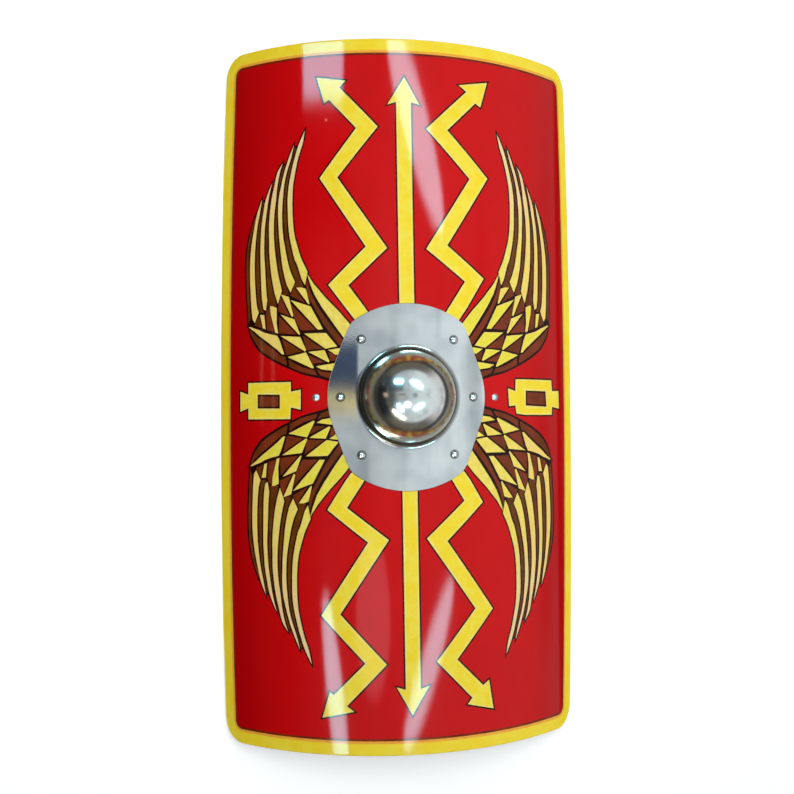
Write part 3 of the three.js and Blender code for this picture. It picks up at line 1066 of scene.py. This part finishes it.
pins = bmesh.new()
pin = turned_mesh("pin", [(0, 8), (rivet_hole_radius, 8), (rivet_hole_radius, -8), (0, -8)], 24)
for across, along in boss_rivet_places:
    before = len(pins.verts)
    pins.from_mesh(pin)
    pins.verts.ensure_lookup_table()
    for vertex in pins.verts[before:]:
        vertex.co = stand_on_board(across, along) @ vertex.co
pins_mesh = bpy.data.meshes.new("pins")
pins.to_mesh(pins_mesh)
pins.free()
pins_object = new_object("pins", pins_mesh)
cutting = boss_shell.modifiers.new("holes", "BOOLEAN")
cutting.object = pins_object
cutting.operation = "DIFFERENCE"
cutting.solver = "EXACT"
bpy.context.view_layer.update()
drilled = boss_shell.evaluated_get(bpy.context.evaluated_depsgraph_get())
boss = new_object("boss_of_steel", bpy.data.meshes.new_from_object(drilled))
for spent in (boss_shell, pins_object):
    bpy.data.objects.remove(spent)
smooth_with_edges(boss.data, 35)
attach(boss, "root")
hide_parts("boss")
print("boss of", len(boss.data.polygons), "faces")

# %% [markdown]
# The dome was polished on the spinning lathe and has faint rings about its axis. The flange was
# buffed flat, so it mirrors the room more sharply and shows fine scratches instead of rings. The
# corner between them and a ring round the foot of each rivet are painted dark, as painted shade.
# Low on the dome's wall a brownish band is a painted reflection of the painted board, and the crown
# is painted darker, as a painted reflection of the camera. One material does it all, by how far a
# point is from the boss's axis.

# %% Boss steel
def boss_finish():
    material, tree = new_material("boss_steel_polished")
    place = tree.node("ShaderNodeTexCoord", None, None, output=3)
    x, y, _ = tree.parts(place)
    along = y - boss_along * MM
    reach = (x * x + along * along) ** 0.5
    on_flange = reach.rising(0.074, 0.080)
    cloud = tree.noise(place, 22.0, 4.0, 0.6)
    patches = tree.noise(place, 17.0, 2.0, 0.5)
    scratch = tree.noise(place, 420.0, 3.0, 0.7)
    from_axis = tree.node("ShaderNodeCombineXYZ", None, {0: reach, 1: 0.0, 2: 0.0})
    rings = tree.noise(from_axis, 900.0, 3.0, 0.6)
    tint = tree.blend(cloud.rising(0.3, 0.7), colour(242, 244, 242), colour(222, 226, 224))
    dull = tree.blend(patches.rising(0.3, 0.72), colour(246, 250, 250), colour(214, 220, 222))
    tint = tree.blend(on_flange, tint, dull)
    # Painted shade: the corner between dome and flange is darkened where shade falls in the crease.
    corner = reach.rising(0.064, 0.070) * (1 - reach.rising(0.0745, 0.0805))
    tint = tree.blend(corner * (0.55 + 0.4 * cloud), tint, colour(58, 60, 60))
    # Painted shade: a dark ring on the flange round the foot of each rivet.
    for rivet_place in boss_rivet_places:
        spot = bent(*rivet_place)
        gap = ((x - spot.x) * (x - spot.x) + (y - spot.y) * (y - spot.y)) ** 0.5
        tint = tree.blend((1 - gap.rising(0.0058, 0.0082)) * 0.8, tint, colour(70, 72, 76))
    # Painted reflection: the crown is darkened where the dome mirrors the camera.
    crown = 1 - reach.rising(0.001, 0.006)
    tint = tree.blend(crown * 0.6, tint, colour(120, 124, 120))
    # Painted reflection: a brownish band low on the dome's wall stands for the painted board mirrored there.
    low_wall = reach.rising(0.046, 0.058) * (1 - reach.rising(0.070, 0.078))
    tint = tree.blend(low_wall * (0.4 + 0.5 * cloud), tint, colour(150, 134, 104))
    gloss = 0.12 + 0.06 * cloud + 0.08 * low_wall + on_flange * (0.04 * patches - 0.10 - 0.04 * cloud)
    height = rings * (1 - on_flange) + scratch * on_flange
    bump = tree.node(
        "ShaderNodeBump", None, {"Strength": 0.06, "Distance": 0.0003, "Height": height})
    finish_material(tree, tree.node("ShaderNodeBsdfPrincipled", None, {
        "Base Color": tint,
        "Metallic": 1.0,
        "Roughness": gloss,
        "Normal": bump,
    }))
    return material


boss.data.materials.clear()
boss.data.materials.append(boss_finish())

# %% [markdown]
# Rivets repeat, so one blank is turned and a Geometry Nodes tree stands a copy of it on each place,
# square to the board. The places are the points of a small mesh that carries each one's turn.

# %% Rivet tree
rivet_group, rivet_tree, rivet_inputs = new_geometry_tree("stand_rivets", [
    ("Blank", "NodeSocketObject"), ("Head Size", "NodeSocketFloat"), ("Finish", "NodeSocketMaterial")])
turn_value = rivet_tree.node(
    "GeometryNodeInputNamedAttribute", {"data_type": "FLOAT"}, {"Name": "turn"})
turn_vector = rivet_tree.node("ShaderNodeCombineXYZ", None, {0: 0.0, 1: turn_value, 2: 0.0})
turn_rotation = rivet_tree.node("FunctionNodeEulerToRotation", None, {0: turn_vector})
blank = rivet_tree.node(
    "GeometryNodeObjectInfo", {"transform_space": "ORIGINAL"}, {"Object": rivet_inputs["Blank"]}, output=4)
stood = rivet_tree.node("GeometryNodeInstanceOnPoints", None, {
    "Points": rivet_inputs["Geometry"],
    "Instance": blank,
    "Rotation": turn_rotation,
    "Scale": rivet_inputs["Head Size"],
})
real_rivets = rivet_tree.node("GeometryNodeRealizeInstances", None, {0: stood})
finished_rivets = rivet_tree.node(
    "GeometryNodeSetMaterial", None, {"Geometry": real_rivets, "Material": rivet_inputs["Finish"]})
rivet_tree.node("NodeGroupOutput", None, {0: finished_rivets})


def round_head(radius, height, seat, steps=10):
    """The section of a round head from its top to its rim."""
    ball = (radius * radius + height * height) / (2 * height)
    sweep = math.asin(radius / ball)
    angles = [sweep * i / steps for i in range(steps + 1)]
    return [(ball * math.sin(a), seat + ball * math.cos(a) - (ball - height)) for a in angles]


def stand_rivets(name, section, places, finish, nodes):
    blank_object = new_object("blank", turned_mesh("blank", section))
    smooth_with_edges(blank_object.data, 40)
    seats = bpy.data.meshes.new("seats")
    seats.from_pydata([bent(a, b) for a, b in places], [], [])
    seats.attributes.new("turn", "FLOAT", "POINT").data.foreach_set(
        "value", [a / bend_radius for a, _ in places])
    rivets = made_by_tree(
        new_object("seats", seats),
        rivet_group,
        {"Blank": blank_object, "Head Size": 1.0, "Finish": finish},
        name)
    bpy.data.objects.remove(blank_object)
    smooth_with_edges(rivets.data, 40)
    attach(rivets, "root")
    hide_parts(*nodes)
    print(name, "of", len(rivets.data.polygons), "faces")

# %% [markdown]
# The rivets are bright steel, hammered by hand: each head is a little uneven and holds some spots
# of dirt. The dark ring round each foot is painted shade on the flange. The grip's rivets are blind
# rivets of dull aluminium with a dark pin hole.

# %% Rivet metals
def rivet_metal(name, light, dark, roughness):
    material, tree = new_material(name)
    place = tree.node("ShaderNodeTexCoord", None, None, output=3)
    spots_of_dirt = tree.noise(place, 520.0, 3.0, 0.6)
    dents = tree.noise(place, 260.0, 2.0, 0.5)
    tint = tree.blend(spots_of_dirt.rising(0.52, 0.75) * 0.6, light, dark)
    bump = tree.node("ShaderNodeBump", None, {"Strength": 0.3, "Distance": 0.0005, "Height": dents})
    finish_material(tree, tree.node("ShaderNodeBsdfPrincipled", None, {
        "Base Color": tint,
        "Metallic": 1.0,
        "Roughness": roughness + 0.12 * spots_of_dirt,
        "Normal": bump,
    }))
    return material


rivet_steel = rivet_metal("rivet_steel", colour(228, 230, 232), colour(120, 122, 126), 0.14)
rivet_aluminium = rivet_metal("rivet_aluminium", colour(206, 206, 206), colour(130, 128, 126), 0.3)

# %% [markdown]
# Each rivet is one turned section from its head to its formed tail. The blind rivet's head is lower,
# with the hole that its pin leaves, and its tail is the bulge behind the strap.

# %% Boss rivets and grip rivets
head_seat = flange_top + contact_gap
tail_top = -sheet - contact_gap
boss_rivet_section = [
    *round_head(5.8, 3.2, head_seat), (2.4, head_seat), (2.4, tail_top), (4.2, tail_top),
    (4.2, tail_top - 0.9), (3.4, tail_top - 1.5), (2.1, tail_top - 1.8), (0.0, tail_top - 1.8),
]
stand_rivets(
    "boss_rivets", boss_rivet_section, boss_rivet_places, rivet_steel,
    [f"boss_rivet_{i}" for i in range(1, 7)])

strap = 4.0
pin_top = contact_gap + 2.0
bulge_top = -sheet - 2 * contact_gap - strap
grip_rivet_section = [
    (0.0, pin_top - 1.2), (1.2, pin_top - 1.2), (1.2, pin_top), *round_head(5.4, 2.0, contact_gap)[3:],
    (2.4, contact_gap), (2.4, bulge_top), (3.6, bulge_top), (3.6, bulge_top - 3.0),
    (2.4, bulge_top - 5.0), (0.0, bulge_top - 5.0),
]
stand_rivets(
    "grip_rivets", grip_rivet_section, grip_rivet_places, rivet_aluminium,
    ["grip_rivet_1", "grip_rivet_2"])

# %% [markdown]
# The grip is a steel strap across the hand hole. Its solid already has the right shape, so a copy of
# it only gets its sharp edges broken, as a file would, and a coat of the back's black paint.

# %% Grip
edge_break = 0.8
strap_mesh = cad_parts["grip"].data.copy()
strap_edit = bmesh.new()
strap_edit.from_mesh(strap_mesh)
bmesh.ops.remove_doubles(strap_edit, verts=strap_edit.verts, dist=1e-5)
bmesh.ops.dissolve_limit(
    strap_edit, angle_limit=math.radians(0.5), verts=strap_edit.verts, edges=strap_edit.edges)
sharp = [e for e in strap_edit.edges if e.is_manifold and e.calc_face_angle() > math.radians(50)]
long_sharp = [e for e in sharp if e.calc_length() > 4 * MM]
bmesh.ops.bevel(strap_edit, geom=long_sharp, offset=edge_break * MM, segments=3, profile=0.5,
                affect="EDGES", clamp_overlap=True)
strap_edit.to_mesh(strap_mesh)
strap_edit.free()
grip = new_object("grip_strap", strap_mesh)
smooth_with_edges(grip.data, 35)
grip.data.materials.clear()
grip.data.materials.append(paints["back"])
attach(grip, "root")
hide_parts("grip")
print("grip of", len(grip.data.polygons), "faces")

# %% [markdown]
# The shield lies on a plain white floor, and far behind it stands a pale backdrop. Neither is part of
# the object. A polished boss mirrors the whole room, and the real one shows a small pale table with
# a dark room round it. So mirrors look through the white floor, to a duller card just under it and a
# dark floor beyond the card.

# %% Floor and backdrop
def stage_sheet(name, points, faces, tint, second_tint, glow=0.0):
    """A flat piece of the studio. Its glow stands for the light that a studio floods it with."""
    sheet_mesh = bpy.data.meshes.new(name)
    sheet_mesh.from_pydata(points, [], faces)
    piece = new_object(name, sheet_mesh)
    material, tree = new_material(name)
    cloud = tree.noise(tree.node("ShaderNodeTexCoord", None, None, output=3), 3.0)
    finish_material(tree, tree.node("ShaderNodeBsdfPrincipled", None, {
        "Base Color": tree.blend(cloud, tint, second_tint),
        "Roughness": 0.9,
        "Specular IOR Level": 0.1,
        "Emission Color": (1.0, 1.0, 1.0, 1.0),
        "Emission Strength": glow,
    }))
    piece.data.materials.append(material)
    return piece


def square(half, level):
    return [(-half, -half, level), (half, -half, level), (half, half, level), (-half, half, level)]


def grey(value, warmth=0.0):
    return (value, value, value - warmth, 1.0)


studio_half = 6.0
backdrop_height = 4.0
card_half = 0.6
card_gap = 0.002
one_face = [(0, 1, 2, 3)]
walls_round = [(i, (i + 1) % 4, (i + 1) % 4 + 4, i + 4) for i in range(4)]
white_floor = stage_sheet("white_floor", square(studio_half, 0.0), one_face, grey(0.94), grey(0.92), 0.38)
white_floor.visible_glossy = False
stage_sheet(
    "mirrored_card", square(card_half, -card_gap), one_face, grey(0.56, 0.03), grey(0.50, 0.03))
stage_sheet("dark_floor", square(9.0, -2 * card_gap), one_face, grey(0.12, 0.02), grey(0.08, 0.01))
backdrop = stage_sheet(
    "backdrop", square(studio_half, 0.0) + square(studio_half, backdrop_height), walls_round,
    grey(0.60), grey(0.58), 0.7)
backdrop.visible_glossy = False
backdrop.visible_diffuse = False
backdrop.visible_shadow = False

# %% [markdown]
# Light comes from a pale room, brighter overhead and to the right, and from softboxes. Glossy paint
# shows each softbox as a hard-edged patch, so a softbox is placed from its patch: the line of sight
# is mirrored in the bent face at the patch's corners, and the box stands where those lines lead.

# %% Softboxes
def mirrored(across, along):
    """The point of the face and the direction in which the camera sees the room mirrored in it."""
    place = bent(across, along)
    normal = bent_direction(across, (0, 0, 1))
    sight = (place - camera_place).normalized()
    return place, sight.reflect(normal)


def area_light(name, shape, width, height, radiance, tint):
    """A flat light that is as bright as radiance says, whatever its size."""
    data = bpy.data.lights.new(name, "AREA")
    data.shape = shape
    data.size, data.size_y = width, height
    data.energy = radiance * width * height * math.pi
    data.color = tint
    box = bpy.data.objects.new(name, data)
    bpy.context.scene.collection.objects.link(box)
    return box


def stand_mirrored(box, centre, up, away):
    """Stands a light at centre with its back turned away. Only mirrors see it."""
    side = up.cross(away).normalized()
    turned = Matrix((side, up, side.cross(up))).transposed().to_4x4()
    box.matrix_world = Matrix.Translation(centre) @ turned
    box.visible_diffuse = False
    print(box.name, [round(c, 2) for c in centre], "size", round(box.data.size, 2), round(box.data.size_y, 2))


def softbox_seen_at(name, corners, strength, tint, shape="ELLIPSE", distance=2.2):
    """corners are the patch's plan corners: lower left, lower right, upper right, upper left."""
    start, direction = mirrored(sum(c[0] for c in corners) / 4, sum(c[1] for c in corners) / 4)
    reach = start + direction * distance
    hits = []
    for corner in corners:
        place, ray = mirrored(*corner)
        hits.append(place + ray * ((reach - place).dot(direction) / ray.dot(direction)))
    wide = (hits[1] + hits[2] - hits[0] - hits[3]) / 2
    high = (hits[2] + hits[3] - hits[0] - hits[1]) / 2
    up = -high.normalized()
    width = abs(wide.dot(up.cross(direction).normalized()))
    box = area_light(name, shape, width, high.length, strength, tint)
    stand_mirrored(box, sum(hits, Vector()) / 4, up, direction)


def streak_corners(low, high, width):
    """The corners of a slanting patch between two plan points."""
    return [
        (low[0] - width / 2, low[1]), (low[0] + width / 2, low[1]),
        (high[0] + width / 2, high[1]), (high[0] - width / 2, high[1]),
    ]


window_tint = (0.3, 0.78, 1.0)
streak_tint = (0.42, 0.85, 1.0)
haze_tint = (1.0, 0.88, 1.0)
tube_tint = (1.0, 0.7, 0.5)
lamp_tint = (1.0, 0.93, 0.72)
window_corners = [(-158.4, 441), (-95.5, 441), (-95.5, 600), (-158.4, 600)]
softbox_seen_at("window_left", window_corners, 23.0, window_tint, "RECTANGLE")
softbox_seen_at("streak_top", streak_corners((54.6, 247), (-27.7, 541), 43), 18.0, streak_tint)
softbox_seen_at("streak_bottom", streak_corners((-9.3, -520), (66.5, -280), 30), 18.0, streak_tint)
softbox_seen_at("streak_bottom_left", streak_corners((-92, -600), (-127, -300), 24), 19.0, streak_tint)
softbox_seen_at("haze_bottom", streak_corners((-60, -440), (-48, -220), 52), 1.8, haze_tint)
for number, across in enumerate((-229, -209)):
    tube_corners = streak_corners((across, -40), (across, 100), 2.5)
    softbox_seen_at(f"tube_left_{number}", tube_corners, 4.0, tube_tint, "RECTANGLE")

lamp_distance = 5.0
lamp_low = Vector((-0.22, -0.82, 0.53)) * lamp_distance
lamp_high = Vector((-0.54, -0.42, 0.45)) * lamp_distance
lamp_run = lamp_high - lamp_low
lamp_middle = (lamp_low + lamp_high) / 2
boss_lamp = area_light("lamp_seen_in_the_boss", "RECTANGLE", 0.3, lamp_run.length, 14.0, lamp_tint)
stand_mirrored(boss_lamp, lamp_middle, lamp_run.normalized(), lamp_middle.normalized())

# %% [markdown]
# Two soft panels light the paint from above and from behind the top edge. Mirrors don't see them,
# because in the photograph they fall outside every reflection.

# %% Main lights
def panel(name, place, aim, width, height, radiance):
    box = area_light(name, "RECTANGLE", width, height, radiance, (1, 1, 1))
    box.location = place
    box.rotation_euler = (Vector(aim) - Vector(place)).to_track_quat("-Z", "Y").to_euler()
    box.visible_glossy = False


panel("soft_overhead", (0.0, 0.27, 1.5), (0.0, 0.12, 0.1), 0.6, 0.6, 7.6)
panel("soft_top", (0.2, 2.3, 2.4), (0, 0, 0.1), 1.2, 1.0, 1.8)

# %% [markdown]
# The room itself is the world: dark walls on the left, paler ones on the right, a pale ceiling, and
# clouded patches. The small dark patch is a doorway, which the left of the flange mirrors, and the
# yellowish one is the wall beside it.

# %% Room
world = bpy.data.worlds.new("room")
world.use_nodes = True
world.node_tree.nodes.clear()
room = Tree(world.node_tree)
room_direction = room.node("ShaderNodeTexCoord", None, None, output=0)
east, north, up = room.parts(room_direction)


def patch(centre_east, half_east, centre_north, half_north, soft):
    """A patch of the sky as it is seen from the boss: 1 inside it, 0 outside."""
    wide = (east - centre_east).size().rising(half_east - soft, half_east + soft)
    high = (north - centre_north).size().rising(half_north - soft, half_north + soft)
    return (1 - wide) * (1 - high)


clouds = room.noise(room_direction, 3.2, 3.0, 0.55)
walls = room.blend(east.rising(0.1, 0.7), (0.012, 0.012, 0.016, 1.0), (0.70, 0.68, 0.70, 1.0))
walls = room.blend(north.size().rising(0.5, 0.9), walls, (0.14, 0.12, 0.09, 1.0))
ceiling = room.blend(east.rising(-0.3, 0.35), (0.46, 0.50, 0.52, 1.0), (0.70, 0.76, 0.78, 1.0))
ceiling = room.blend(east.rising(-0.75, -0.45), (0.09, 0.09, 0.08, 1.0), ceiling)
room_light = room.blend(up.rising(0.34, 0.46), walls, ceiling)
room_light = room.blend(clouds.rising(0.5, 0.7) * 0.45, room_light, (0.16, 0.18, 0.19, 1.0))
room_light = room.blend(patch(-0.6, 0.26, 0.42, 0.22, 0.06) * 0.8, room_light, (0.05, 0.06, 0.07, 1.0))
room_light = room.blend(patch(-0.41, 0.13, 0.066, 0.030, 0.003), room_light, (0.05, 0.07, 0.12, 1.0))
room_light = room.blend(patch(-0.41, 0.14, 0.023, 0.013, 0.003) * 0.9, room_light, (0.6, 0.5, 0.22, 1.0))
room_background = room.node("ShaderNodeBackground", None, {"Color": room_light, "Strength": 1.0})
room.node("ShaderNodeOutputWorld", None, {"Surface": room_background})
bpy.context.scene.world = world
bpy.context.scene.view_settings.view_transform = "Standard"
bpy.context.scene.view_settings.look = "None"
